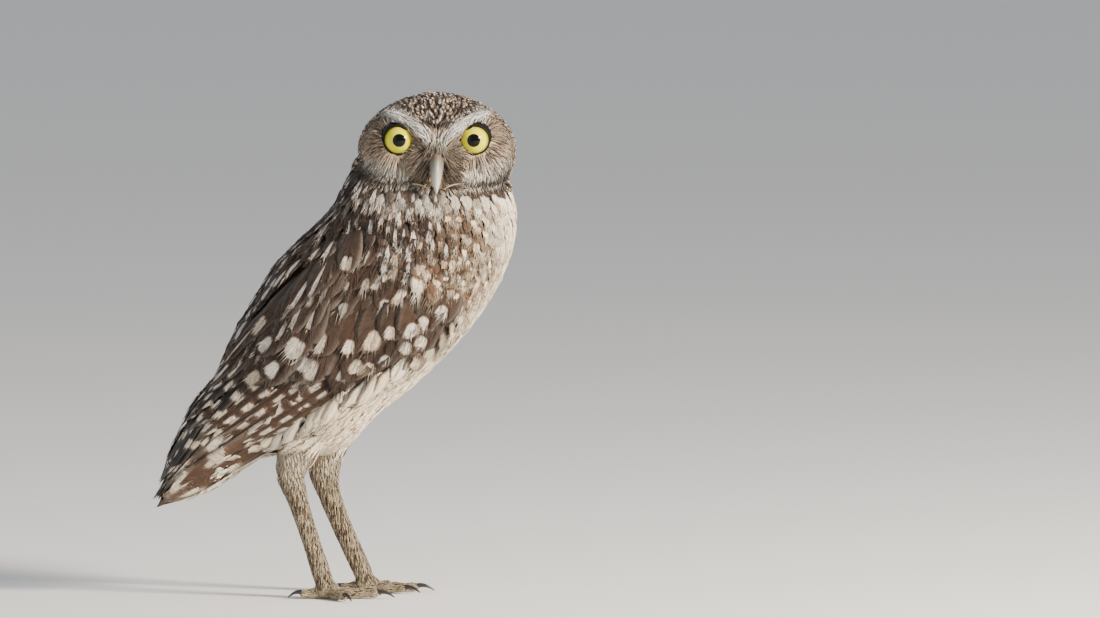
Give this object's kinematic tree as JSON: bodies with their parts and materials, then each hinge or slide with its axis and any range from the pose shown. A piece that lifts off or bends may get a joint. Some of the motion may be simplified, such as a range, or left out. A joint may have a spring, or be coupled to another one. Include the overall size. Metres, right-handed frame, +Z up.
{
  "type": "burrowing owl model",
  "caption": "Life-size still model of a burrowing owl standing on long legs, head turned to its side, with overlapping wing and tail feathers",
  "frame": {"origin": "On the floor, below the middle of the bird's bounding box", "axes": "+Z up, +X the way the body faces, +Y to the bird's left; the face is turned to -Y"},
  "size_m": [0.1494, 0.0744, 0.2072],
  "materials": {
    "plumage_face": "soft short face feathers, matte",
    "plumage_brown": "soft brown body feathers with buff spots, matte",
    "plumage_flight": "flight feathers, brown with pale bars, faint sheen",
    "plumage_leg": "short buff leg feathers, matte",
    "iris": "yellow eye with black pupil, wet gloss",
    "horn": "grey-green horn, satin",
    "foot_scales": "scaly skin of the toes with bristles, matte",
    "claw_horn": "dark horn, satin gloss"
  },
  "bodies": {
    "root": {"head": "plumage_face", "eye_right": "iris", "eye_left": "iris", "bill_upper": "horn", "bill_lower": "horn", "neck": "plumage_brown", "torso": "plumage_brown", "tail": "plumage_flight", "wing_right": "plumage_flight", "wing_left": "plumage_flight", "thigh_right": "plumage_leg", "thigh_left": "plumage_leg", "shank_right": "plumage_leg", "shank_left": "plumage_leg", "foot_right": "foot_scales", "foot_left": "foot_scales", "claw_right_inner": "claw_horn", "claw_right_middle": "claw_horn", "claw_right_outer": "claw_horn", "claw_right_hind": "claw_horn", "claw_left_inner": "claw_horn", "claw_left_middle": "claw_horn", "claw_left_outer": "claw_horn", "claw_left_hind": "claw_horn"}
  },
  "joints": []
}
